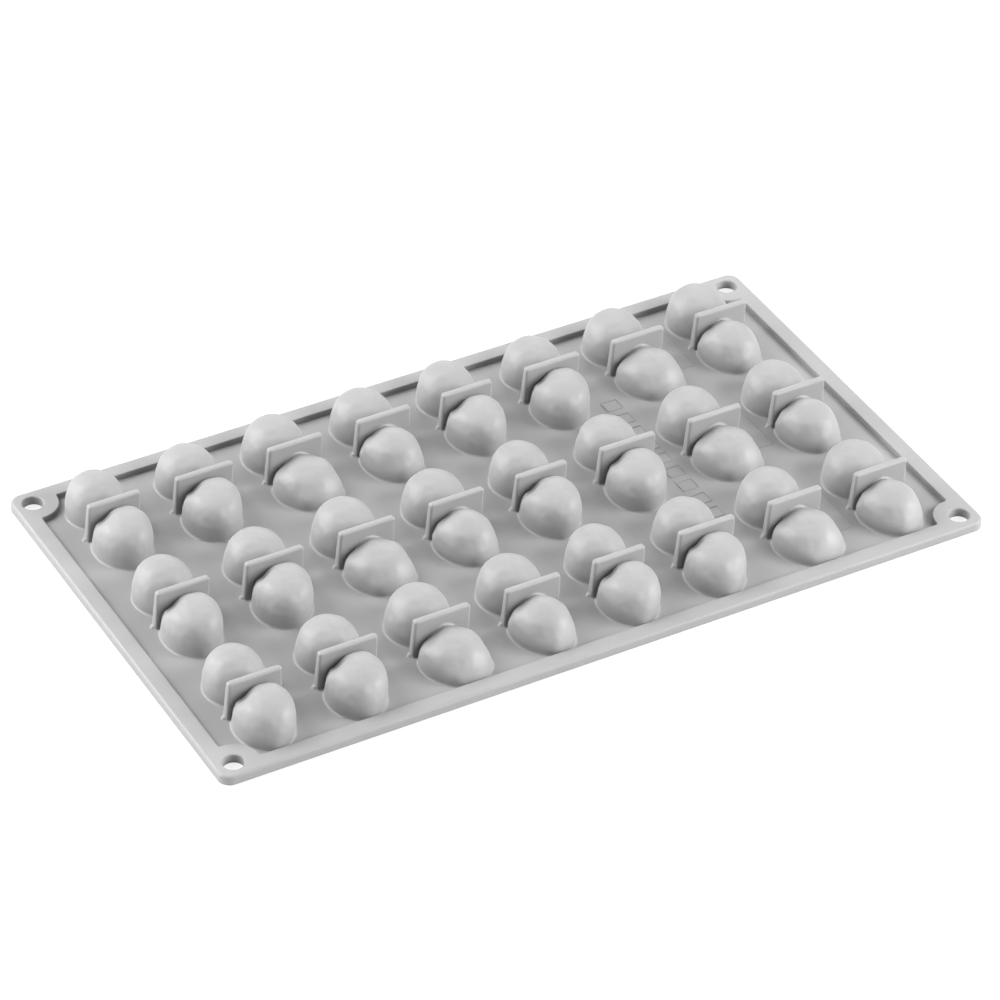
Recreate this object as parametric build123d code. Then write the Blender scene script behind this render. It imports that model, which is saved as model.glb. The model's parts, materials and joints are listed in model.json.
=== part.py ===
from build123d import *
import os
from dataclasses import dataclass
from math import cos, radians, sin, tan

# Silicone baking mold with twin-lobed cups, lying on its open face with the cup backs up.
# Sizes are in millimetres, angles in degrees.
# Frame: the origin is the middle of the open face, X runs along the long side,
# Y along the short side from front to back, and Z up out of the cup backs.

# Cup grid
row_names = ("front", "middle", "back")
column_count = 8
cup_length = 47.4
cup_width = 25.2
row_gap = 8.1
column_gap = 10.0

# Sheet, rim and corners
web_thickness = 1.5
rim_gap_x = 7.9
rim_gap_y = 2.0
rim_width = 6.3
rim_height = 3.5
rim_outer_round = 1.0
rim_inner_round = 0.4
corner_radius = 4.5
hole_inset = 7.0
hole_radius = 3.8
hole_round = 0.5
boss_radius = 9.4
nook_round = 0.6

# Cup shells: every cup is two leaning domes on upright skirts, joined by a neck,
# with a shoulder that swells out of the front dome's left side.
# A dome fullness of 0.55 would be half an ellipsoid, and 1 a cylinder.
cup_wall = 1.5
dome_fullness = 0.66
neck_half_width = 7.2
neck_height = 11.5
neck_x = 0.8
neck_reach = 7.0

# Upright fins that cross each cup at its neck and carry the mold when it stands on them
fin_y = -2.4
fin_thickness = 2.2
fin_rise = 14.7
fin_draft = 1.7
fin_corner_round = 0.9
fin_edge_round = 0.5

# Shallow blank fields in the sheet where a mold carries its marks
mark_depth = 0.3
mark_corner_round = 0.4
plaque_columns = (7, 8)
plaque_width = 5.7
plaque_length = 24.5
plaque_x = -0.1
plaque_y = 1.8
tile_columns = (6, 7)
tile_width = 5.7
tile_length = 5.2
tile_x = -1.8
tile_y = 0.6
tile_pitch = 9.1
tile_count = 9

# How far a cut runs past the face that it opens
cut_past = 1.0


@dataclass
class Lobe:
    """One dome of a cup: an elliptical skirt that closes in a full round top."""

    x: float
    half_width: float
    half_length: float
    turn: float
    height: float
    skirt: float
    lean_x: float
    lean_y: float


@dataclass
class CupDesign:
    """The domes of a cup, and the width of its fin at the top and its shift to the right.

    The shoulder's middle lies shoulder_y behind the middle of the front dome.
    """

    fin_width: float
    fin_x: float
    front: Lobe
    back: Lobe
    shoulder: Lobe
    shoulder_y: float


# The four cup designs follow each other along the long side, and then repeat
designs = (
    CupDesign(
        fin_width=20.1,
        fin_x=0.1,
        front=Lobe(-0.9, 9.1, 12.4, 0, 15.8, 4.0, 1.1, -1.0),
        back=Lobe(-0.7, 11.2, 11.6, 0, 15.5, 4.0, 0.0, 2.0),
        shoulder=Lobe(-7.0, 5.0, 6.5, 0, 12.2, 4.5, 0.3, 0.5),
        shoulder_y=2.3,
    ),
    CupDesign(
        fin_width=22.2,
        fin_x=0.1,
        front=Lobe(-1.4, 9.1, 12.2, -8, 15.8, 4.0, 0.8, -0.6),
        back=Lobe(-0.6, 11.6, 11.6, 0, 15.1, 3.5, 0.4, 1.2),
        shoulder=Lobe(-7.5, 5.0, 6.8, -8, 12.8, 5.0, 0.4, 0.4),
        shoulder_y=2.5,
    ),
    CupDesign(
        fin_width=21.4,
        fin_x=0.9,
        front=Lobe(1.8, 10.8, 12.6, 22, 12.0, 0.8, 0.2, 1.5),
        back=Lobe(-1.8, 11.5, 12.0, -8, 15.8, 5.0, 1.3, 1.5),
        shoulder=Lobe(-4.6, 5.6, 7.0, 30, 10.0, 2.0, 0.5, 0.5),
        shoulder_y=2.7,
    ),
    CupDesign(
        fin_width=21.2,
        fin_x=1.2,
        front=Lobe(-0.9, 9.5, 11.4, 32, 14.8, 1.0, 0.4, 0.6),
        back=Lobe(-0.5, 11.9, 12.0, -10, 15.3, 4.0, 0.2, 1.8),
        shoulder=Lobe(-6.2, 5.2, 6.5, 32, 10.3, 3.0, 0.8, 0.5),
        shoulder_y=3.7,
    ),
)

# Sizes that follow from the ones above
column_pitch = cup_width + column_gap
row_pitch = cup_length + row_gap
inner_length = (column_count - 1) * column_pitch + cup_width + 2 * rim_gap_x
inner_width = (len(row_names) - 1) * row_pitch + cup_length + 2 * rim_gap_y
mold_length = inner_length + 2 * rim_width
mold_width = inner_width + 2 * rim_width
hole_x = mold_length / 2 - hole_inset
hole_y = mold_width / 2 - hole_inset
corner_block = hole_inset + boss_radius + 2 * nook_round
corners = {
    "front_left": (-1, -1),
    "front_right": (1, -1),
    "back_left": (-1, 1),
    "back_right": (1, 1),
}


def column_x(column):
    """Middle of a column, counted from 1 at the left."""
    return (column - (column_count + 1) / 2) * column_pitch


def row_y(row):
    """Middle of a row, counted from 0 at the front."""
    return (row - (len(row_names) - 1) / 2) * row_pitch


def lobe_solid(lobe, y, inset):
    """A lobe's body with its walls and top drawn in by inset."""
    top = lobe.height - inset
    bottom = -cut_past if inset else 0
    full_z = lobe.skirt + dome_fullness * (top - lobe.skirt)
    outline = [
        Line((0, 0, bottom), (1, 0, bottom)),
        Line((1, 0, bottom), (1, 0, lobe.skirt)),
        Bezier((1, 0, lobe.skirt), (1, 0, full_z), (dome_fullness, 0, top), (0, 0, top)),
        Line((0, 0, top), (0, 0, bottom)),
    ]
    unit_dome = revolve(make_face(outline), Axis.Z)
    width = lobe.half_width - inset
    length = lobe.half_length - inset
    turn = radians(lobe.turn)
    place = Matrix([
        [width * cos(turn), -length * sin(turn), lobe.lean_x / lobe.height, lobe.x],
        [width * sin(turn), length * cos(turn), lobe.lean_y / lobe.height, y],
        [0.0, 0.0, 1.0, 0.0],
    ])
    return unit_dome.transform_geometry(place)


def neck_solid(inset):
    """The arched passage between the two lobes, under the fin."""
    bottom = -cut_past if inset else 0
    arch = Plane.XZ * Ellipse(neck_half_width - inset, neck_height - inset)
    tunnel = extrude(arch, neck_reach, both=True)
    room = Box(
        2 * neck_half_width, 2 * neck_reach, neck_height,
        align=(Align.CENTER, Align.CENTER, Align.MIN),
    )
    upper = tunnel & room
    if inset:
        foot = Box(
            2 * (neck_half_width - inset), 2 * neck_reach, -bottom,
            align=(Align.CENTER, Align.CENTER, Align.MAX),
        )
        upper = upper + foot
    return Pos(neck_x, fin_y + fin_thickness / 2, 0) * upper


def cup_body(design, inset):
    """Both lobes, the shoulder and the neck as one solid, about the middle of the cup."""
    front_y = -cup_length / 2 + design.front.half_length
    back_y = cup_length / 2 - design.back.half_length
    front = lobe_solid(design.front, front_y, inset)
    back = lobe_solid(design.back, back_y, inset)
    shoulder = lobe_solid(design.shoulder, front_y + design.shoulder_y, inset)
    return front + back + shoulder + neck_solid(inset)


def drafted_outline(top_width):
    """A fin seen square on: wider at its foot than at its top, about the middle of the foot."""
    half_top = top_width / 2
    half_foot = half_top + fin_rise * tan(radians(fin_draft))
    return Polygon(
        (-half_foot, 0), (half_foot, 0), (half_top, fin_rise), (-half_top, fin_rise), align=None
    )


def fin_solid(design, body):
    """A tapered fin across the cup, cut to sit over the cup's own back."""
    front_view = Plane.XZ * drafted_outline(design.fin_width)
    front_view = fillet(front_view.vertices().sort_by(Axis.Z)[-2:], fin_corner_round)
    side_view = Plane.YZ * drafted_outline(fin_thickness)
    fin = extrude(front_view, cup_width, both=True) & extrude(side_view, cup_width, both=True)
    fin = fillet(fin.faces().sort_by(Axis.Z)[-1].edges(), fin_edge_round)
    return Pos(design.fin_x, fin_y + fin_thickness / 2, web_thickness) * fin - body


def recess_outline():
    """The outline inside the rim, with a round corner boss reaching into each corner."""
    outline = Rectangle(inner_length, inner_width)
    for side_x, side_y in corners.values():
        outline -= Pos(side_x * hole_x, side_y * hole_y) * Circle(boss_radius)
    return fillet(outline.vertices(), nook_round)


def rim_solid():
    """The whole raised border with its four holes."""
    border = extrude(RectangleRounded(mold_length, mold_width, corner_radius), rim_height)
    border -= extrude(recess_outline(), rim_height)
    top = border.faces().sort_by(Axis.Z)[-1]
    border = fillet(top.outer_wire().edges(), rim_outer_round)
    top = border.faces().sort_by(Axis.Z)[-1]
    border = fillet(top.inner_wires()[0].edges(), rim_inner_round)
    for side_x, side_y in corners.values():
        border -= Pos(side_x * hole_x, side_y * hole_y, rim_height / 2) * Cylinder(
            hole_radius, rim_height
        )
    hole_edges = border.faces().sort_by(Axis.Z)[-1].inner_wires()
    return fillet([edge for wire in hole_edges for edge in wire.edges()], hole_round)


def corner_room(side_x, side_y):
    """The block of space that holds one corner of the rim."""
    middle_x = side_x * (mold_length - corner_block) / 2
    middle_y = side_y * (mold_width - corner_block) / 2
    return Pos(middle_x, middle_y, rim_height / 2) * Box(corner_block, corner_block, rim_height)


def field(width, length, x, y):
    """A shallow blank field sunk into the top of the sheet."""
    outline = RectangleRounded(width, length, mark_corner_round)
    return extrude(Pos(x, y, web_thickness - mark_depth) * outline, mark_depth)


def mark_fields():
    """Every blank field: a long plaque in each row, and one line of tiles across the mold."""
    plaque_middle = sum(column_x(column) for column in plaque_columns) / 2
    tile_middle = sum(column_x(column) for column in tile_columns) / 2
    first_tile = tile_y - (tile_count - 1) / 2 * tile_pitch
    plaques = [
        field(plaque_width, plaque_length, plaque_middle + plaque_x, row_y(row) + plaque_y)
        for row in range(len(row_names))
    ]
    tiles = [
        field(tile_width, tile_length, tile_middle + tile_x, first_tile + tile * tile_pitch)
        for tile in range(tile_count)
    ]
    return plaques + tiles


def sheet_field(sheet, row, column):
    """One cup's own field of the sheet, halfway to its neighbours or out to the rim."""
    lines_x = [-mold_length / 2, *(column_x(c + 0.5) for c in range(1, column_count)), mold_length / 2]
    lines_y = [-mold_width / 2, *(row_y(r + 0.5) for r in range(len(row_names) - 1)), mold_width / 2]
    left, right = lines_x[column - 1:column + 1]
    front, back = lines_y[row:row + 2]
    room = Box(right - left, back - front, 2 * web_thickness)
    return sheet & Pos((left + right) / 2, (front + back) / 2, 0) * room


def write(shape, name):
    """Save one node."""
    export_step(shape, f"parts/{name}.step")


os.makedirs("parts", exist_ok=True)

# Cups, each with its own field of the sheet, and fins
sheet = extrude(recess_outline(), web_thickness)
for mark in mark_fields():
    sheet -= mark
bodies = [cup_body(design, 0) for design in designs]
cavities = [cup_body(design, cup_wall) for design in designs]
fins = [fin_solid(design, body) for body, design in zip(bodies, designs)]
for row, row_name in enumerate(row_names):
    for column in range(1, column_count + 1):
        kind = (column - 1) % len(designs)
        place = Pos(column_x(column), row_y(row), 0)
        cup = sheet_field(sheet, row, column) + place * bodies[kind] - place * cavities[kind]
        write(cup, f"cup_{row_name}_{column}")
        write(place * fins[kind], f"fin_{row_name}_{column}")

# Rim, as four rails between four corner bosses
rim = rim_solid()
rails = rim
for corner_name, sides in corners.items():
    room = corner_room(*sides)
    write(rim & room, f"corner_boss_{corner_name}")
    rails -= room
by_x = rails.solids().sort_by(Axis.X)
by_y = rails.solids().sort_by(Axis.Y)
write(by_x[0], "rim_left")
write(by_x[-1], "rim_right")
write(by_y[0], "rim_front")
write(by_y[-1], "rim_back")

print("mold", round(mold_length, 2), "x", round(mold_width, 2), "x", fin_rise + web_thickness)
print("volume of the last cup with its field", round(cup.volume, 1))
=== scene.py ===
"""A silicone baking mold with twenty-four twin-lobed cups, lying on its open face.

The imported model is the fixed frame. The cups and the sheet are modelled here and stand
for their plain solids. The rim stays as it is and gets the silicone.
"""
import json
from dataclasses import dataclass
from math import cos, hypot, pi, radians, sin, sqrt

import bpy
from bpy.props import FloatProperty, FloatVectorProperty, IntProperty, PointerProperty
from mathutils import Euler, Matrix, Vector
from mathutils.bvhtree import BVHTree

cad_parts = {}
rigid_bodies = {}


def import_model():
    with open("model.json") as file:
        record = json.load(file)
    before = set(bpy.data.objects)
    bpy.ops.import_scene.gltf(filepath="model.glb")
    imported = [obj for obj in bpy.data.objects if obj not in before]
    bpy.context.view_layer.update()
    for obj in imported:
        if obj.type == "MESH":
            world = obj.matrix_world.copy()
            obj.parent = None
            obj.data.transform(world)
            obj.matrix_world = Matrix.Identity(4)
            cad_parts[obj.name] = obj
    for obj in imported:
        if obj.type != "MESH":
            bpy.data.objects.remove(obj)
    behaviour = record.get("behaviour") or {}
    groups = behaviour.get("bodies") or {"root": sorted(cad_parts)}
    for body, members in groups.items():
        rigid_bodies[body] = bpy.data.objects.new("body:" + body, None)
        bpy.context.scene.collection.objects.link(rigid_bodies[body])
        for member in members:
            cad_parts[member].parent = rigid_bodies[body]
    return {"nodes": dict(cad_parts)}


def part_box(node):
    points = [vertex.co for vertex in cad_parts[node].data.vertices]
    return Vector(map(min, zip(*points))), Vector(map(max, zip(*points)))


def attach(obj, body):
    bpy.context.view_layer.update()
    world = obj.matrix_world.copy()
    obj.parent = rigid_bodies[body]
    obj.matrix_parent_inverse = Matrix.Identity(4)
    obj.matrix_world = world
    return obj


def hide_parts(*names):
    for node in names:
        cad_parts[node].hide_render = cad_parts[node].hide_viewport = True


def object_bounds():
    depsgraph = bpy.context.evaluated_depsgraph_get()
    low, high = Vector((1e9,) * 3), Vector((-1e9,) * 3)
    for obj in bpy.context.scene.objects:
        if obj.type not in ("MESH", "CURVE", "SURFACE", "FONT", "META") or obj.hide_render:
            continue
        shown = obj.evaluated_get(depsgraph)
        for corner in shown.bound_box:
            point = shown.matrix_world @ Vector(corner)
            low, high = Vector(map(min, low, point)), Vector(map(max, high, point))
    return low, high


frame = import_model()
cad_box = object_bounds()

bl_info = {
    "name": "Silicone baking mold",
    "version": (1, 0, 0),
    "blender": (4, 5, 0),
    "location": "View3D > Sidebar > Mold",
    "description": "Models a silicone baking mold with twin-lobed cups around its packed frame",
    "category": "Object",
}

MM = 0.001
# Lengths below these, in metres, count as nothing
TOUCHING = 1e-6
SAME_SPOT = 1e-7
ROWS = ("front", "middle", "back")
COLUMNS = range(1, 9)


def linear(hex_colour):
    """A written sRGB colour as the linear values that a shader takes."""
    channels = [int(hex_colour[start:start + 2], 16) / 255 for start in (1, 3, 5)]
    return tuple(
        c / 12.92 if c <= 0.04045 else ((c + 0.055) / 1.055) ** 2.4 for c in channels
    ) + (1.0,)


# The four cup designs. Places are in millimetres from the middle of a cup, and turns in degrees.


@dataclass
class Push:
    """A push of the thumb into the clay: where it lands, how far it reaches and what it moves."""

    x: float
    y: float
    z: float
    reach: float
    move: tuple


@dataclass
class Lobe:
    """One dome: an ellipse that rises as an upright skirt and closes in a round, leaning top.

    A fullness of 0.55 makes the top's profile nearly an ellipse, a larger one a fuller shoulder.
    """

    x: float
    y: float
    half_width: float
    half_length: float
    turn: float
    height: float
    skirt: float
    lean: tuple
    pushes: tuple = ()
    fullness: float = 0.66


@dataclass
class CupDesign:
    """The domes of a cup, the width of its fin at the top and the fin's shift to the right."""

    name: str
    fin_width: float
    fin_x: float
    lobes: tuple


DESIGNS = (
    CupDesign("a", 20.1, 0.1, (
        Lobe(-2.1, -11.3, 10.2, 13.1, 0, 15.8, 7.6, (1.4, 0.0), (
            Push(-7.0, -4.5, 14.0, 7.5, (0.0, 0.0, -3.0)),
            Push(-5.5, -4.5, 12.0, 4.5, (0.0, 0.0, -1.2)),
            Push(-12.0, -4.0, 9.5, 4.0, (0.8, 0.0, -0.8)),
            Push(-4.5, -24.0, 4.5, 5.5, (0.5, -1.0, 0.0)),
            Push(0.5, -2.5, 15.0, 8.0, (0.0, 0.0, -1.4)),
        ), 0.72),
        Lobe(-0.7, 12.1, 11.2, 11.6, 0, 15.5, 4.0, (0.0, 2.0)),
    )),
    CupDesign("b", 22.2, 0.1, (
        Lobe(-2.6, -11.6, 10.4, 13.2, -8, 15.8, 7.6, (1.4, 0.3), (
            Push(-7.0, -4.5, 14.0, 7.5, (0.0, 0.0, -2.6)),
            Push(-6.0, -4.5, 12.0, 4.5, (0.0, 0.0, -1.2)),
            Push(-12.5, -4.0, 9.5, 4.0, (0.8, 0.0, -0.8)),
            Push(-4.5, -24.0, 4.5, 5.5, (0.5, -0.6, 0.0)),
            Push(0.5, -2.5, 15.0, 8.0, (0.0, 0.0, -1.2)),
        ), 0.72),
        Lobe(-0.6, 12.1, 11.6, 11.6, 0, 15.1, 3.5, (0.4, 1.2)),
    )),
    CupDesign("c", 21.4, 0.9, (
        Lobe(0.5, -12.2, 12.0, 13.3, 25, 12.8, 2.0, (0.2, 1.5), (
            Push(-6.0, -4.5, 11.0, 7.5, (0.0, 0.0, -1.2)),
            Push(-6.0, -23.0, 5.5, 6.0, (-0.4, -0.8, 0.0)),
            Push(11.5, -12.0, 5.0, 8.0, (-1.2, 0.0, -0.4)),
        )),
        Lobe(-1.8, 11.7, 11.5, 12.0, -8, 15.8, 5.0, (1.3, 1.5)),
    )),
    CupDesign("d", 21.2, 1.2, (
        Lobe(-1.1, -12.2, 10.2, 13.1, 15, 14.6, 4.0, (0.4, 1.5), (
            Push(-6.5, -4.5, 13.0, 7.5, (0.0, 0.0, -2.2)),
            Push(-5.5, -4.5, 12.0, 4.5, (0.0, 0.0, -0.4)),
            Push(-11.5, -4.0, 9.0, 4.0, (0.6, 0.0, -0.7)),
            Push(-4.0, -24.0, 5.0, 6.0, (0.2, -0.9, 0.0)),
            Push(1.0, -2.5, 14.0, 8.0, (0.0, 0.0, -1.0)),
        )),
        Lobe(-0.5, 11.7, 11.9, 12.0, -10, 15.3, 4.0, (0.2, 1.8)),
    )),
)


def cup_place(row, column):
    """Middle of a cup. Columns one and five hold the same design, so their fins give the pitch."""
    first, fifth = (sum(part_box(f"fin_front_{c}"), Vector()) / 2 for c in (1, 5))
    last_row = sum(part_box("fin_back_1"), Vector()) / 2
    column_pitch = (fifth.x - first.x) / 4
    row_pitch = (last_row.y - first.y) / 2
    middle_column = (COLUMNS[0] + COLUMNS[-1]) / 2
    return Vector(((column - middle_column) * column_pitch, (row - 1) * row_pitch, 0))


# Sizes and colours that a user would change


class SheetSizes(bpy.types.PropertyGroup):
    """The flat sheet between the cups."""

    thickness: FloatProperty(
        name="Thickness", description="Thickness of the sheet",
        default=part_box("fin_front_1")[0].z, min=0.0, unit="LENGTH",
    )
    boss_radius: FloatProperty(
        name="Boss radius", description="Radius of the round pad in each corner of the rim",
        default=9.4 * MM, unit="LENGTH",
    )
    hole_inset: FloatProperty(
        name="Hole inset", description="From the outer edges to the middle of a corner hole",
        default=7.0 * MM, unit="LENGTH",
    )
    field_depth: FloatProperty(
        name="Field depth", description="Depth of the blank fields in the sheet",
        default=0.04 * MM, unit="LENGTH",
    )
    frame_width: FloatProperty(
        name="Frame width", description="Width of the thin raised frame round a blank field",
        default=0.5 * MM, unit="LENGTH",
    )
    frame_height: FloatProperty(
        name="Frame height", description="How far the frames stand up from the sheet",
        default=0.16 * MM, unit="LENGTH",
    )


class CupSizes(bpy.types.PropertyGroup):
    """What all cups share."""

    wall: FloatProperty(
        name="Wall", description="Wall of a cup", default=1.5 * MM, unit="LENGTH",
    )
    foot_round: FloatProperty(
        name="Foot round", description="Hollow round where a dome stands on the sheet",
        default=0.5 * MM, unit="LENGTH",
    )
    grain: FloatProperty(
        name="Mesh grain", description="Edge length of the skin that is drawn over a cup",
        default=0.35 * MM, unit="LENGTH",
    )
    fin_thickness: FloatProperty(
        name="Fin thickness", description="Thickness of a fin at its top",
        default=2.6 * MM, unit="LENGTH",
    )
    fin_front: FloatProperty(
        name="Fin front", description="Front face of a fin, from the middle of its cup",
        default=-2.4 * MM, unit="LENGTH",
    )
    fin_draft: FloatProperty(
        name="Fin draft", description="Slope of a fin's faces", default=radians(1.7),
        unit="ROTATION",
    )
    fin_lean: FloatProperty(
        name="Fin lean", description="How far the top of a fin stands to the right of its foot",
        default=1.2 * MM, unit="LENGTH",
    )
    slot: FloatProperty(
        name="Slot", description="Free space between a front dome and its fin", default=1.3 * MM,
        unit="LENGTH",
    )
    lump_size: FloatProperty(
        name="Lump size", description="Width of the soft lumps on the domes", default=5.5 * MM,
        unit="LENGTH",
    )
    lump_height: FloatProperty(
        name="Lump height", description="How far the lumps stand out", default=0.7 * MM,
        unit="LENGTH",
    )
    seam_reach: FloatProperty(
        name="Seam reach", description="How far from the seams the skin is smoothed",
        default=0.55 * MM, unit="LENGTH",
    )
    seam_melt: IntProperty(
        name="Seam melt", description="How often the seams between parts are smoothed",
        default=12,
    )


class SiliconeLook(bpy.types.PropertyGroup):
    """The finish of the silicone."""

    colour: FloatVectorProperty(
        name="Colour", description="Colour of the silicone", default=linear("#898989"),
        size=4, subtype="COLOR", min=0.0, max=1.0,
    )
    roughness: FloatProperty(
        name="Roughness", description="Roughness of the moulded skin", default=0.5,
        min=0.0, max=1.0, subtype="FACTOR",
    )


class StageLook(bpy.types.PropertyGroup):
    """Floor and light."""

    floor_colour: FloatVectorProperty(
        name="Floor", description="Colour of the floor", default=linear("#E7E7E7"),
        size=4, subtype="COLOR", min=0.0, max=1.0,
    )
    floor_glow: FloatProperty(
        name="Floor glow", description="How far the floor is drawn towards white for the camera",
        default=0.8, min=0.0, max=1.0, subtype="FACTOR",
    )
    ambient: FloatProperty(
        name="Ambient", description="Strength of the white room that lights the mold",
        default=0.0, min=0.0,
    )


# Modelling helpers


def deselect_all():
    """Leave edit mode and let go of everything."""
    if bpy.context.object and bpy.context.object.mode != "OBJECT":
        bpy.ops.object.mode_set(mode="OBJECT")
    bpy.ops.object.select_all(action="DESELECT")


def pick(*pieces):
    """Select these pieces alone, the first one active."""
    deselect_all()
    for piece in pieces:
        piece.select_set(True)
    bpy.context.view_layer.objects.active = pieces[0]
    return pieces[0]


def apply_place(piece):
    """Put a piece's place into its mesh."""
    pick(piece)
    bpy.ops.object.transform_apply(location=True, rotation=True, scale=True)
    return piece


def apply_modifier(piece, kind, **settings):
    """Add one modifier and make it part of the mesh."""
    pick(piece)
    modifier = piece.modifiers.new(kind.title(), kind)
    for key, value in settings.items():
        setattr(modifier, key, value)
    bpy.ops.object.modifier_apply(modifier=modifier.name)
    return piece


def cut_away(piece, tool):
    """Take a tool's body out of a piece, and drop the tool."""
    apply_modifier(piece, "BOOLEAN", operation="DIFFERENCE", solver="EXACT", object=tool)
    bpy.data.objects.remove(tool)
    return piece


SOFTEN_SHARE = 0.5


def soften(piece, times, group=""):
    """Smooth a skin a number of times, all over or in one vertex group."""
    return apply_modifier(
        piece, "SMOOTH", factor=SOFTEN_SHARE, iterations=times, vertex_group=group,
    )


def joined(pieces):
    """Several pieces as one object."""
    pick(*pieces)
    bpy.ops.object.join()
    return bpy.context.object


def block(name, low, high):
    """A box between two corners."""
    deselect_all()
    middle = (Vector(low) + Vector(high)) / 2
    bpy.ops.mesh.primitive_cube_add(size=1, location=middle)
    piece = bpy.context.object
    piece.name = name
    piece.scale = Vector(high) - Vector(low)
    return apply_place(piece)


def select_by(piece, test, mode="VERT"):
    """In edit mode, select the vertices, edges or faces whose middle passes a test."""
    pick(piece)
    bpy.ops.object.mode_set(mode="EDIT")
    bpy.ops.mesh.select_mode(type=mode)
    bpy.ops.mesh.select_all(action="DESELECT")
    bpy.ops.object.mode_set(mode="OBJECT")
    mesh = piece.data
    if mode == "VERT":
        for vertex in mesh.vertices:
            vertex.select = test(vertex.co)
    elif mode == "EDGE":
        for edge in mesh.edges:
            ends = [mesh.vertices[v].co for v in edge.vertices]
            edge.select = test(*ends)
    else:
        for polygon in mesh.polygons:
            polygon.select = test(polygon.center, polygon.normal)
    bpy.ops.object.mode_set(mode="EDIT")


# Blank fields, where a mold carries its marks


@dataclass
class Field:
    """A line of equal blank fields along Y, with its middle, in millimetres."""

    width: float
    length: float
    x: float
    y: float
    count: int
    pitch: float


ROW_PITCH = 55.5
# One larger field in each row of cups, and a line of nine squares
FIELDS = (
    Field(5.7, 24.5, 105.5, 1.8, 3, ROW_PITCH),
    Field(5.7, 5.2, 68.6, 0.6, 9, 9.1),
)
# Columns whose own piece of sheet a field can touch
FIELD_COLUMNS = (6, 7, 8)
FIELD_CORNER = 0.4 * MM
FIELD_CORNER_STEPS = 4


def upright_edges(a, b):
    """An edge that stands on end."""
    return hypot(a.x - b.x, a.y - b.y) < TOUCHING


def field_blocks(grow, low, high):
    """A body over every field, grown by a margin, between two heights."""
    blocks = []
    for field in FIELDS:
        half = Vector((field.width, field.length, 0)) / 2 * MM + Vector((grow, grow, 0))
        for number in range(field.count):
            y = field.y + (number - (field.count - 1) / 2) * field.pitch
            place = Vector((field.x, y, 0)) * MM
            bottom, top = Vector((0, 0, low)), Vector((0, 0, high))
            blocks.append(block("mark", place - half + bottom, place + half + top))
    marks = joined(blocks)
    select_by(marks, upright_edges, mode="EDGE")
    bpy.ops.mesh.bevel(
        offset=FIELD_CORNER + grow, segments=FIELD_CORNER_STEPS, affect="EDGES",
    )
    bpy.ops.object.mode_set(mode="OBJECT")
    return marks


def sink_fields(piece, sizes):
    """Sink the blank fields into a piece."""
    floor = sizes.thickness - sizes.field_depth
    return cut_away(piece, field_blocks(0.0, floor, 2 * sizes.thickness))


# Cups


# Sides of a dome's rings, and how many rings its foot and its round top have
RING_SIDES = 72
FOOT_STEPS = 4
DOME_STEPS = 14
# How far the parts of a cup reach below the open face before they are trimmed
BELOW = 1.2 * MM
# How much a dome turns inwards at once where its upright skirt ends
KNEE = 0.07


def dome_curve(t, fullness):
    """Rise and width of a dome's profile along a Bezier curve that starts with a slight knee."""
    s = 1 - t
    rise = 3 * s ** 2 * t * fullness + 3 * s * t ** 2 + t ** 3
    width = s ** 3 + 3 * s ** 2 * t * (1 - KNEE) + 3 * s * t ** 2 * fullness
    return rise, width


def dome_levels(lobe, inset, foot, sheet_top):
    """Heights of a dome's rings, each with its share of the full width and its added flare."""
    top = lobe.height * MM - inset
    skirt = min(lobe.skirt * MM, top)
    shares = {-BELOW: 1.0, 0.0: 1.0}
    for step in range(DOME_STEPS):
        rise, width = dome_curve(step / DOME_STEPS, lobe.fullness)
        shares[skirt + (top - skirt) * rise] = width
    if foot:
        known = sorted(shares.items())
        for step in range(FOOT_STEPS + 1):
            z = sheet_top + foot * (1 - cos(step / FOOT_STEPS * pi / 2))
            (low, wide), (high, narrow) = next(
                pair for pair in zip(known, known[1:]) if pair[1][0] > z
            )
            shares[z] = wide + (narrow - wide) * (z - low) / (high - low)
    levels = []
    for z, share in sorted(shares.items()):
        flare = 0.0
        if foot and z < sheet_top + foot:
            up = max(0.0, z - sheet_top)
            flare = foot - sqrt(foot ** 2 - (foot - up) ** 2)
        levels.append((z, share, flare))
    return top, levels


def raise_lobe(name, lobe, inset, foot, sheet_top):
    """Extrude an ellipse ring by ring into a dome, lean it over and push it into shape."""
    deselect_all()
    width = lobe.half_width * MM - inset
    length = lobe.half_length * MM - inset
    turn = radians(lobe.turn)
    top, levels = dome_levels(lobe, inset, foot, sheet_top)
    bpy.ops.mesh.primitive_circle_add(vertices=RING_SIDES, radius=1.0, fill_type="NGON")
    piece = bpy.context.object
    piece.name = name
    bpy.ops.object.mode_set(mode="EDIT")
    middle = Vector((0.0, 0.0, 0.0))
    reach = Vector((1.0, 1.0))
    for number, (z, share, flare) in enumerate(levels):
        lean = Vector(lobe.lean) * MM * max(0.0, z) / (lobe.height * MM)
        target = Vector((
            lean.x * cos(turn) + lean.y * sin(turn), lean.y * cos(turn) - lean.x * sin(turn), z,
        ))
        size = Vector((width * share + flare, length * share + flare))
        if number:
            bpy.ops.mesh.extrude_region_move(
                TRANSFORM_OT_translate={"value": target - middle},
            )
        else:
            bpy.ops.transform.translate(value=target - middle)
        bpy.ops.transform.resize(
            value=(size.x / reach.x, size.y / reach.y, 1), center_override=target,
        )
        middle, reach = target, size
    bpy.ops.mesh.extrude_region_move(
        TRANSFORM_OT_translate={"value": (0, 0, top - middle.z)},
    )
    bpy.ops.mesh.merge(type="CENTER")
    bpy.ops.object.mode_set(mode="OBJECT")
    piece.rotation_euler = (0, 0, turn)
    piece.location = (lobe.x * MM, lobe.y * MM, 0)
    apply_place(piece)
    for push in lobe.pushes:
        thumb(piece, push)
    return piece


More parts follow.
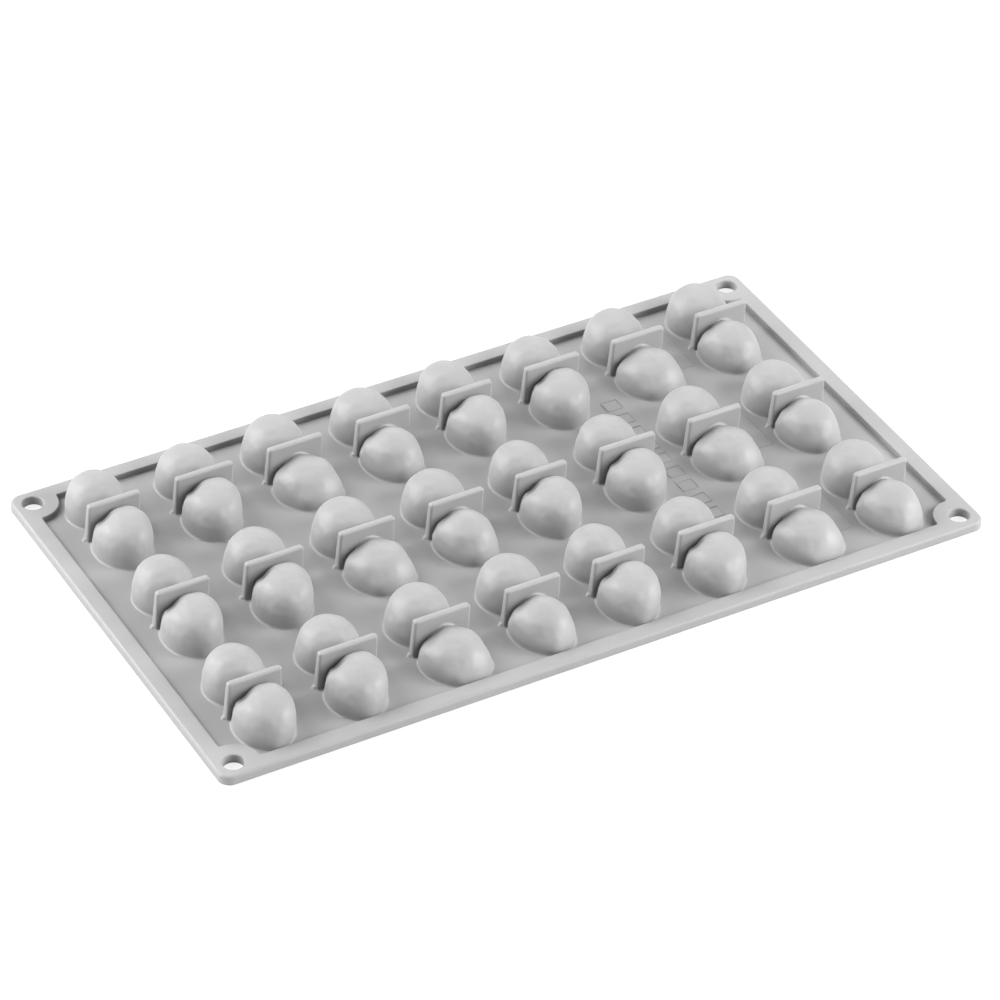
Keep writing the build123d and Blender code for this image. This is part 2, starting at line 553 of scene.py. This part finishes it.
def thumb(piece, push):
    """Move the surface near a point, with a soft edge."""
    spot = Vector((push.x, push.y, push.z)) * MM
    nearest = min(piece.data.vertices, key=lambda v: (v.co - spot).length).co.copy()
    select_by(piece, lambda co: (co - nearest).length < SAME_SPOT)
    bpy.ops.transform.translate(
        value=Vector(push.move) * MM, use_proportional_edit=True,
        proportional_edit_falloff="SMOOTH", proportional_size=push.reach * MM,
    )
    bpy.ops.object.mode_set(mode="OBJECT")


# The neck is half an ellipse in section; its middle stands a little right of the cup's
NECK_HALF_WIDTH = 7.2 * MM
NECK_HEIGHT = 11.5 * MM
NECK_X = 0.8 * MM
NECK_REACH = 7.0 * MM


def raise_neck(name, inset, sizes):
    """The arched passage between the two domes, under the fin."""
    deselect_all()
    bpy.ops.mesh.primitive_cylinder_add(
        vertices=RING_SIDES, radius=1.0, depth=2 * NECK_REACH, rotation=(pi / 2, 0, 0),
        location=(NECK_X, sizes.fin_front + sizes.fin_thickness / 2, 0),
    )
    piece = bpy.context.object
    piece.name = name
    piece.scale = (NECK_HALF_WIDTH - inset, NECK_HEIGHT - inset, 1)
    apply_place(piece)
    select_by(piece, lambda co: co.z < -BELOW)
    bpy.ops.transform.resize(value=(1, 1, 0), center_override=(0, 0, -BELOW))
    bpy.ops.object.mode_set(mode="OBJECT")
    return piece


# Rounding of a fin's upper corners, seen from the front, and of the edges of its faces
FIN_TOP_CORNER = 0.9 * MM
FIN_TOP_CORNER_STEPS = 6
FIN_EDGE = 0.8 * MM
FIN_EDGE_STEPS = 4


def raise_fin(name, design, sizes, sheet_top):
    """A plate across the cup, drafted by drawing in its top, with soft corners."""
    fin_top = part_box("fin_front_1")[1].z
    half = design.fin_width * MM / 2
    middle = sizes.fin_front + sizes.fin_thickness / 2
    piece = block(
        name,
        (design.fin_x * MM - half, sizes.fin_front, sheet_top / 2),
        (design.fin_x * MM + half, sizes.fin_front + sizes.fin_thickness, fin_top),
    )
    spread = (fin_top - sheet_top) * sin(sizes.fin_draft)
    select_by(piece, lambda co: co.z < sheet_top)
    bpy.ops.transform.resize(
        value=(1 + spread / half, 1 + 2 * spread / sizes.fin_thickness, 1),
        center_override=(design.fin_x * MM, middle, 0),
    )
    bpy.ops.transform.translate(value=(-sizes.fin_lean, 0, 0))
    bpy.ops.object.mode_set(mode="OBJECT")
    select_by(
        piece, lambda a, b: min(a.z, b.z) > sheet_top and abs(a.x - b.x) < MM, mode="EDGE",
    )
    bpy.ops.mesh.bevel(offset=FIN_TOP_CORNER, segments=FIN_TOP_CORNER_STEPS, affect="EDGES")
    bpy.ops.object.mode_set(mode="OBJECT")
    select_by(
        piece,
        lambda a, b: max(a.z, b.z) > sheet_top and abs(a.y - b.y) < sizes.fin_thickness / 2,
        mode="EDGE",
    )
    bpy.ops.mesh.bevel(offset=FIN_EDGE, segments=FIN_EDGE_STEPS, affect="EDGES")
    bpy.ops.object.mode_set(mode="OBJECT")
    return piece


NUB_RADIUS = 1.0 * MM
NUB_OUT = 0.3 * MM
NUB_SIDES = 16
NUB_RINGS = 8


def add_nub(name, design, sizes, sheet_top):
    """The small bead at the left foot of a fin."""
    deselect_all()
    bpy.ops.mesh.primitive_uv_sphere_add(
        segments=NUB_SIDES, ring_count=NUB_RINGS, radius=NUB_RADIUS,
        location=(
            (design.fin_x - design.fin_width / 2) * MM - sizes.fin_lean - NUB_OUT,
            sizes.fin_front + sizes.fin_thickness / 2, sheet_top,
        ),
    )
    piece = bpy.context.object
    piece.name = name
    return apply_place(piece)


def tree_of(piece):
    """The surface of a piece, for measuring distances to it."""
    return BVHTree.FromPolygons(
        [vertex.co.copy() for vertex in piece.data.vertices],
        [tuple(polygon.vertices) for polygon in piece.data.polygons],
    )


def melt(piece, surfaces, reach, times):
    """Smooth a skin wherever two of the parts that it was drawn over come close."""
    group = piece.vertex_groups.new(name="seams")
    for vertex in piece.data.vertices:
        near = sum(surface.find_nearest(vertex.co, reach)[0] is not None for surface in surfaces)
        if near > 1:
            group.add([vertex.index], 1.0, "REPLACE")
    soften(piece, times, "seams")
    piece.vertex_groups.clear()


# The lumps start at this height, grow over this distance and keep this far off the fin's middle
LUMPS_FROM = 4.0 * MM
LUMPS_FADE = 4.0 * MM
LUMPS_OFF_FIN = 3.0 * MM


def lump(piece, sizes):
    """Raise the soft, clay-like lumps of the domes, fading out towards the foot and the fin."""
    group = piece.vertex_groups.new(name="domes")
    fin_middle = sizes.fin_front + sizes.fin_thickness / 2
    for vertex in piece.data.vertices:
        room = min(vertex.co.z - LUMPS_FROM, abs(vertex.co.y - fin_middle) - LUMPS_OFF_FIN)
        if room > 0:
            group.add([vertex.index], min(1.0, room / LUMPS_FADE), "REPLACE")
    clouds = bpy.data.textures.new("lumps", "CLOUDS")
    clouds.noise_scale = sizes.lump_size
    clouds.noise_depth = 1
    apply_modifier(
        piece, "DISPLACE", texture=clouds, strength=sizes.lump_height, vertex_group="domes",
    )
    piece.vertex_groups.clear()


def draw_skin(piece, grain):
    """One even skin over everything that a piece is joined from."""
    pick(piece)
    piece.data.remesh_voxel_size = grain
    piece.data.remesh_voxel_adaptivity = 0.0
    bpy.ops.object.voxel_remesh()
    return piece


# Half sides and cut corners of the field of sheet that each cup brings along
TILE_HALF_X = 15.0 * MM
TILE_HALF_Y = 25.6 * MM
TILE_CORNER = 9.2 * MM


def trim(piece, point, normal):
    """Cut a piece off flat at a plane and close the cut."""
    pick(piece)
    bpy.ops.object.mode_set(mode="EDIT")
    bpy.ops.mesh.select_all(action="SELECT")
    bpy.ops.mesh.bisect(
        plane_co=point, plane_no=normal, use_fill=True, clear_outer=True, threshold=TOUCHING,
    )
    bpy.ops.object.mode_set(mode="OBJECT")


def end_at(dome, back):
    """Cut off what a front dome has behind a place."""
    far = 2 * TILE_HALF_Y
    cut_away(dome, block("behind", (-far, back, -far), (far, far, far)))


# Vertices this near the sheet's top are set level with it
LEVEL_BAND = 0.03 * MM
# A face whose normal rises this much counts as level
LEVEL = 0.999
# Level faces are joined up to this turn, in degrees, but for a few rows along the edges
MERGE_ANGLE = 1
FINE_ROWS = 3


def level_flat(piece, height):
    """Set what lies very near a height level with it."""
    select_by(piece, lambda co: abs(co.z - height) < LEVEL_BAND)
    bpy.ops.transform.resize(value=(1, 1, 0), center_override=(0, 0, height))
    bpy.ops.object.mode_set(mode="OBJECT")


def merge_flat(piece, height):
    """Join the small faces of the flat at a height, apart from a few rows along its edges."""
    select_by(
        piece, lambda middle, normal: normal.z > LEVEL and abs(middle.z - height) < TOUCHING,
        mode="FACE",
    )
    for _ in range(FINE_ROWS):
        bpy.ops.mesh.select_less()
    bpy.ops.mesh.dissolve_limited(angle_limit=radians(MERGE_ANGLE))
    bpy.ops.object.mode_set(mode="OBJECT")


def tile_planes():
    """Point and outward normal of the eight sides of a cup's field of sheet."""
    planes = []
    corner_x, corner_y = TILE_HALF_X - TILE_CORNER / 2, TILE_HALF_Y - TILE_CORNER / 2
    for side in (-1, 1):
        planes.append(((side * TILE_HALF_X, 0, 0), (side, 0, 0)))
        planes.append(((0, side * TILE_HALF_Y, 0), (0, side, 0)))
        for other in (-1, 1):
            planes.append(((side * corner_x, other * corner_y, 0), (side, other, 0)))
    return planes


# How often the skins are smoothed all over
SKIN_SMOOTHING = 3
HOLLOW_SMOOTHING = 6
# How far the sheet under a cup reaches past its field before it is trimmed
FIELD_MARGIN = MM


def raise_lobes(name, design, inset, foot, sizes, sheet_top):
    """Both domes of a cup, or with an inset their hollows, the front one ending at the slot."""
    lobes = [
        raise_lobe(f"{name}_{number}", lobe, inset, foot, sheet_top)
        for number, lobe in enumerate(design.lobes)
    ]
    end_at(lobes[0], sizes.fin_front - sizes.slot - inset)
    return lobes


def draw_cup(design, sizes, sheet_top):
    """Domes, neck, fin and nub melted into one skin over their field of sheet, and trimmed."""
    domes = raise_lobes("dome", design, 0.0, sizes.foot_round, sizes, sheet_top)
    neck = raise_neck("neck", 0.0, sizes)
    fin = raise_fin("fin", design, sizes, sheet_top)
    half_x, half_y = TILE_HALF_X + FIELD_MARGIN, TILE_HALF_Y + FIELD_MARGIN
    field = block("field", (-half_x, -half_y, -BELOW), (half_x, half_y, sheet_top))
    nub = add_nub("nub", design, sizes, sheet_top)
    crossing = [tree_of(part) for part in (*domes, neck, fin)]
    cup = draw_skin(joined([*domes, neck, fin, field, nub]), sizes.grain)
    cup.name = f"cup_design_{design.name}"
    soften(cup, SKIN_SMOOTHING)
    melt(cup, crossing, sizes.seam_reach, sizes.seam_melt)
    lump(cup, sizes)
    level_flat(cup, sheet_top)
    for point, normal in tile_planes():
        trim(cup, point, normal)
    trim(cup, (0, 0, 0), (0, 0, -1))
    merge_flat(cup, sheet_top)
    return cup


def draw_hollow(design, sizes, sheet_top):
    """The room inside a cup, one wall inside its domes and neck."""
    hollows = raise_lobes("hollow", design, sizes.wall, 0.0, sizes, sheet_top)
    hollows.append(raise_neck("hollow_neck", sizes.wall, sizes))
    hollow = draw_skin(joined(hollows), 2 * sizes.grain)
    return soften(hollow, HOLLOW_SMOOTHING)


def smooth_by_angle(piece, degrees):
    """Shade smooth, and keep the edges that turn further than an angle sharp."""
    pick(piece)
    bpy.ops.object.shade_smooth_by_angle(angle=radians(degrees))


# Edges that turn further than this, in degrees, are shaded sharp
CUP_SMOOTH_ANGLE = 65
SHEET_SMOOTH_ANGLE = 30


class MOLD_OT_cups(bpy.types.Operator):
    """Model the four cup designs and set them out in three rows of eight."""

    bl_idname = "mold.cups"
    bl_label = "Cups"

    def execute(self, context):
        sizes = context.scene.mold_cups
        sheet_top = context.scene.mold_sheet.thickness
        for kind, design in enumerate(DESIGNS):
            pattern = draw_cup(design, sizes, sheet_top)
            cut_away(pattern, draw_hollow(design, sizes, sheet_top))
            smooth_by_angle(pattern, CUP_SMOOTH_ANGLE)
            dress(pattern)
            for row, row_name in enumerate(ROWS):
                for column in COLUMNS[kind::len(DESIGNS)]:
                    pick(pattern)
                    bpy.ops.object.duplicate(linked=False)
                    cup = context.object
                    cup.name = f"twin_cup_{row_name}_{column}"
                    cup.location = cup_place(row, column)
                    apply_place(cup)
                    if column in FIELD_COLUMNS:
                        sink_fields(cup, context.scene.mold_sheet)
                    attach(cup, "root")
                    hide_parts(f"cup_{row_name}_{column}", f"fin_{row_name}_{column}")
            bpy.data.objects.remove(pattern)
        return {"FINISHED"}


# Sheet


BOSS_SIDES = 96


def octagon(name, place, low, high):
    """A prism that fits round the field of sheet of one cup."""
    piece = block(
        name, (-TILE_HALF_X, -TILE_HALF_Y, low), (TILE_HALF_X, TILE_HALF_Y, high),
    )
    select_by(piece, upright_edges, mode="EDGE")
    bpy.ops.mesh.bevel(offset=TILE_CORNER, segments=1, affect="EDGES")
    bpy.ops.object.mode_set(mode="OBJECT")
    piece.location = place
    return apply_place(piece)


def boss_rounds(sizes):
    """A round body over each corner boss, as tall as needed to cut the sheet."""
    rounds = []
    outer = cad_box[1]
    for side_x in (-1, 1):
        for side_y in (-1, 1):
            deselect_all()
            bpy.ops.mesh.primitive_cylinder_add(
                vertices=BOSS_SIDES, radius=sizes.boss_radius, depth=4 * sizes.thickness,
                location=(
                    side_x * (outer[0] - sizes.hole_inset),
                    side_y * (outer[1] - sizes.hole_inset), sizes.thickness / 2,
                ),
            )
            rounds.append(apply_place(bpy.context.object))
    return rounds


class MOLD_OT_sheet(bpy.types.Operator):
    """Model the flat sheet, open where the cups bring their own field, with its blank marks."""

    bl_idname = "mold.sheet"
    bl_label = "Sheet"

    def execute(self, context):
        sizes = context.scene.mold_sheet
        over = sizes.thickness
        low = (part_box("rim_left")[1].x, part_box("rim_front")[1].y, 0)
        high = (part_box("rim_right")[0].x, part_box("rim_back")[0].y, over)
        sheet = block("sheet", low, high)
        openings = [
            octagon("opening", cup_place(row, column), -over, 2 * over)
            for row in range(len(ROWS)) for column in COLUMNS
        ]
        cut_away(sheet, joined(openings))
        for round_body in boss_rounds(sizes):
            cut_away(sheet, round_body)
        sink_fields(sheet, sizes)
        smooth_by_angle(sheet, SHEET_SMOOTH_ANGLE)
        dress(sheet)
        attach(sheet, "root")
        return {"FINISHED"}


class MOLD_OT_frames(bpy.types.Operator):
    """Model the thin raised frames round the blank fields."""

    bl_idname = "mold.frames"
    bl_label = "Frames"

    def execute(self, context):
        sizes = context.scene.mold_sheet
        top = sizes.thickness + sizes.frame_height
        frames = field_blocks(sizes.frame_width, sizes.thickness, top)
        cut_away(frames, field_blocks(0.0, 0.0, 2 * top))
        frames.name = "field_frames"
        smooth_by_angle(frames, SHEET_SMOOTH_ANGLE)
        dress(frames)
        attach(frames, "root")
        return {"FINISHED"}


# Silicone


SILICONE_IOR = 1.41
# Cloudy colour of a filled rubber: size and darkest shade of the clouds, and where in the
# noise they begin and end
CLOUD_SIZE = 20 * MM
CLOUD_SHADE = 0.96
CLOUD_FROM = 0.3
CLOUD_TO = 0.7
# Blasted tool skin: real grit is about 0.1 mm, drawn at 0.5 mm so that it shows
GRIT_SIZE = 0.5 * MM
GRIT_HEIGHT = 0.05 * MM
GRIT_STRENGTH = 0.06


def add_node(tree, kind, links=None, **settings):
    """Add a node, set its properties and sockets, and link what feeds it."""
    node = tree.nodes.new(kind)
    for key, value in settings.items():
        if hasattr(node, key):
            setattr(node, key, value)
        else:
            node.inputs[key.replace("_", " ").title()].default_value = value
    for socket, source in (links or {}).items():
        tree.links.new(source, node.inputs[socket])
    return node


def silicone_material():
    """Platinum silicone, injection moulded in a bead-blasted tool: satin, slightly cloudy."""
    name = "moulded platinum silicone"
    if name in bpy.data.materials:
        return bpy.data.materials[name]
    look = bpy.context.scene.mold_silicone
    material = bpy.data.materials.new(name)
    material.use_nodes = True
    tree = material.node_tree
    tree.nodes.clear()
    place = add_node(tree, "ShaderNodeTexCoord").outputs["Object"]
    cloud = add_node(
        tree, "ShaderNodeTexNoise", {"Vector": place}, scale=1 / CLOUD_SIZE, detail=3.0,
    )
    shade = add_node(tree, "ShaderNodeValToRGB", {"Fac": cloud.outputs["Fac"]})
    low, high = shade.color_ramp.elements
    low.position, high.position = CLOUD_FROM, CLOUD_TO
    low.color = [CLOUD_SHADE * c for c in look.colour[:3]] + [1.0]
    high.color = look.colour
    grit = add_node(
        tree, "ShaderNodeTexNoise", {"Vector": place}, scale=1 / GRIT_SIZE, detail=2.0,
    )
    skin = add_node(
        tree, "ShaderNodeBump", {"Height": grit.outputs["Fac"]},
        strength=GRIT_STRENGTH, distance=GRIT_HEIGHT,
    )
    shader = add_node(
        tree, "ShaderNodeBsdfPrincipled",
        {"Base Color": shade.outputs["Color"], "Normal": skin.outputs["Normal"]},
        roughness=look.roughness,
    )
    shader.inputs["IOR"].default_value = SILICONE_IOR
    add_node(tree, "ShaderNodeOutputMaterial", {"Surface": shader.outputs["BSDF"]})
    return material


def dress(piece):
    """Give a piece the silicone."""
    material = silicone_material()
    if piece.material_slots:
        for place in piece.material_slots:
            place.material = material
    else:
        piece.data.materials.append(material)


class MOLD_OT_rim(bpy.types.Operator):
    """Dress the rim rails and corner bosses, whose shape is right as it is."""

    bl_idname = "mold.rim"
    bl_label = "Rim"

    def execute(self, context):
        for name, node in frame["nodes"].items():
            if name.startswith(("rim_", "corner_boss_")):
                dress(node)
        return {"FINISHED"}


# Stage


CAMERA_PLACE = (-0.67036, -1.21724, 1.0624)
# Tilt from straight down, turn round the vertical and roll, in degrees
CAMERA_TURN = (90 - 37.203, -28.906, 0.456)
CAMERA_LENS = 177.5
CAMERA_SENSOR = 36.0
CAMERA_SIGHT = 50.0
FLOOR_SIZE = 8.0
FLOOR_BELOW = 0.2 * MM
SOFT_BOX_SIZE = 0.7
SOFT_BOX_DISTANCE = 1.5


@dataclass
class SoftBox:
    """A square soft box that points at the mold, with its direction in degrees and its watts."""

    name: str
    azimuth: float
    elevation: float
    power: float


# Azimuth runs anticlockwise from the front, seen from above. Low boxes on both sides leave the
# front of the domes dark.
SOFT_BOXES = (
    SoftBox("right side", 60, 27, 30.0),
    SoftBox("right front", 30, 27, 12.0),
    SoftBox("right front low", 30, 12, 4.5),
    SoftBox("right high", 60, 45, 3.8),
    SoftBox("back right high", 120, 45, 2.4),
    SoftBox("back right", 150, 27, 5.0),
    SoftBox("back left", 210, 27, 12.7),
    SoftBox("back left high", 210, 45, 7.8),
    SoftBox("left side", 240, 27, 11.9),
    SoftBox("left side high", 240, 45, 11.6),
    SoftBox("left side low", 240, 12, 5.3),
    SoftBox("left low", 270, 12, 8.2),
    SoftBox("left front high", 300, 45, 2.0),
)


def hang_soft_box(box):
    """Hang a soft box on a dome round the mold."""
    azimuth, elevation = radians(box.azimuth), radians(box.elevation)
    place = SOFT_BOX_DISTANCE * Vector((
        sin(azimuth) * cos(elevation), -cos(azimuth) * cos(elevation), sin(elevation),
    ))
    deselect_all()
    bpy.ops.object.light_add(type="AREA", location=place)
    lamp = bpy.context.object
    lamp.name = box.name
    lamp.data.shape = "SQUARE"
    lamp.data.size = SOFT_BOX_SIZE
    lamp.data.energy = box.power
    lamp.rotation_euler = (-place).to_track_quat("-Z", "Y").to_euler()


def camera_rays(tree):
    """One where the camera, a reflection or a clear body looks straight at the background."""
    path = add_node(tree, "ShaderNodeLightPath")
    either = add_node(
        tree, "ShaderNodeMath",
        {0: path.outputs["Is Camera Ray"], 1: path.outputs["Is Glossy Ray"]}, operation="MAXIMUM",
    )
    return add_node(
        tree, "ShaderNodeMath",
        {0: either.outputs[0], 1: path.outputs["Is Transmission Ray"]}, operation="MAXIMUM",
    ).outputs[0]


def lay_floor(look):
    """Lay the pale floor, which is drawn towards white where the camera sees it."""
    deselect_all()
    bpy.ops.mesh.primitive_plane_add(size=FLOOR_SIZE, location=(0, 0, -FLOOR_BELOW))
    floor = bpy.context.object
    floor.name = "floor"
    material = bpy.data.materials.new("painted studio floor")
    material.use_nodes = True
    tree = material.node_tree
    tree.nodes.clear()
    paint = add_node(tree, "ShaderNodeBsdfDiffuse")
    paint.inputs["Color"].default_value = look.floor_colour
    glow = add_node(tree, "ShaderNodeEmission")
    share = add_node(tree, "ShaderNodeMath", {0: camera_rays(tree)}, operation="MULTIPLY")
    share.inputs[1].default_value = look.floor_glow
    both = add_node(
        tree, "ShaderNodeMixShader",
        {0: share.outputs[0], 1: paint.outputs[0], 2: glow.outputs[0]},
    )
    add_node(tree, "ShaderNodeOutputMaterial", {"Surface": both.outputs[0]})
    floor.data.materials.append(material)


def whiten_room(look):
    """Make the background white for the camera, and light the mold by the room as set."""
    world = bpy.data.worlds.new("studio")
    bpy.context.scene.world = world
    world.use_nodes = True
    tree = world.node_tree
    tree.nodes.clear()
    strength = add_node(
        tree, "ShaderNodeMath", {0: camera_rays(tree)}, operation="MULTIPLY_ADD",
    )
    strength.inputs[1].default_value = 1 - look.ambient
    strength.inputs[2].default_value = look.ambient
    light = add_node(tree, "ShaderNodeBackground", {"Strength": strength.outputs[0]})
    light.inputs["Color"].default_value = (1, 1, 1, 1)
    add_node(tree, "ShaderNodeOutputWorld", {"Surface": light.outputs[0]})


def set_camera():
    """Set the camera at the photograph's viewing angle."""
    deselect_all()
    bpy.ops.object.camera_add(location=CAMERA_PLACE)
    camera = bpy.context.object
    camera.name = "camera"
    tilt, pan, roll = (radians(angle) for angle in CAMERA_TURN)
    aim = Euler((tilt, 0, pan), "XYZ").to_quaternion() @ Euler((0, 0, roll)).to_quaternion()
    camera.rotation_euler = aim.to_euler()
    camera.data.lens = CAMERA_LENS
    camera.data.sensor_width = CAMERA_SENSOR
    camera.data.clip_end = CAMERA_SIGHT
    bpy.context.scene.camera = camera


class MOLD_OT_stage(bpy.types.Operator):
    """Set the floor, the white background, the lights and the camera."""

    bl_idname = "mold.stage"
    bl_label = "Stage"

    def execute(self, context):
        look = context.scene.mold_stage
        lay_floor(look)
        whiten_room(look)
        for box in SOFT_BOXES:
            hang_soft_box(box)
        set_camera()
        context.scene.view_settings.view_transform = "Standard"
        return {"FINISHED"}


class MOLD_PT_sidebar(bpy.types.Panel):
    """The mold's tools in the sidebar of the 3D view."""

    bl_label = "Silicone mold"
    bl_idname = "MOLD_PT_sidebar"
    bl_space_type = "VIEW_3D"
    bl_region_type = "UI"
    bl_category = "Mold"

    def draw(self, context):
        for group, operators in (
            ("mold_sheet", ("mold.sheet", "mold.frames", "mold.rim")),
            ("mold_cups", ("mold.cups",)),
            ("mold_silicone", ()),
            ("mold_stage", ("mold.stage",)),
        ):
            settings = getattr(context.scene, group)
            box = self.layout.box()
            for key in settings.__annotations__:
                box.prop(settings, key)
            for operator in operators:
                box.operator(operator)


GROUPS = {
    "mold_sheet": SheetSizes,
    "mold_cups": CupSizes,
    "mold_silicone": SiliconeLook,
    "mold_stage": StageLook,
}
OPERATORS = (MOLD_OT_sheet, MOLD_OT_frames, MOLD_OT_cups, MOLD_OT_rim, MOLD_OT_stage)


def register():
    """Make the settings, operators and panel known to Blender."""
    for name, group in GROUPS.items():
        bpy.utils.register_class(group)
        setattr(bpy.types.Scene, name, PointerProperty(type=group))
    for operator in OPERATORS:
        bpy.utils.register_class(operator)
    bpy.utils.register_class(MOLD_PT_sidebar)


def unregister():
    """Take them all back."""
    bpy.utils.unregister_class(MOLD_PT_sidebar)
    for operator in reversed(OPERATORS):
        bpy.utils.unregister_class(operator)
    for name, group in GROUPS.items():
        delattr(bpy.types.Scene, name)
        bpy.utils.unregister_class(group)


def main():
    """Build the mold and its stage."""
    register()
    bpy.ops.mold.sheet()
    bpy.ops.mold.frames()
    bpy.ops.mold.cups()
    bpy.ops.mold.rim()
    bpy.ops.mold.stage()


if __name__ == "__main__":
    main()
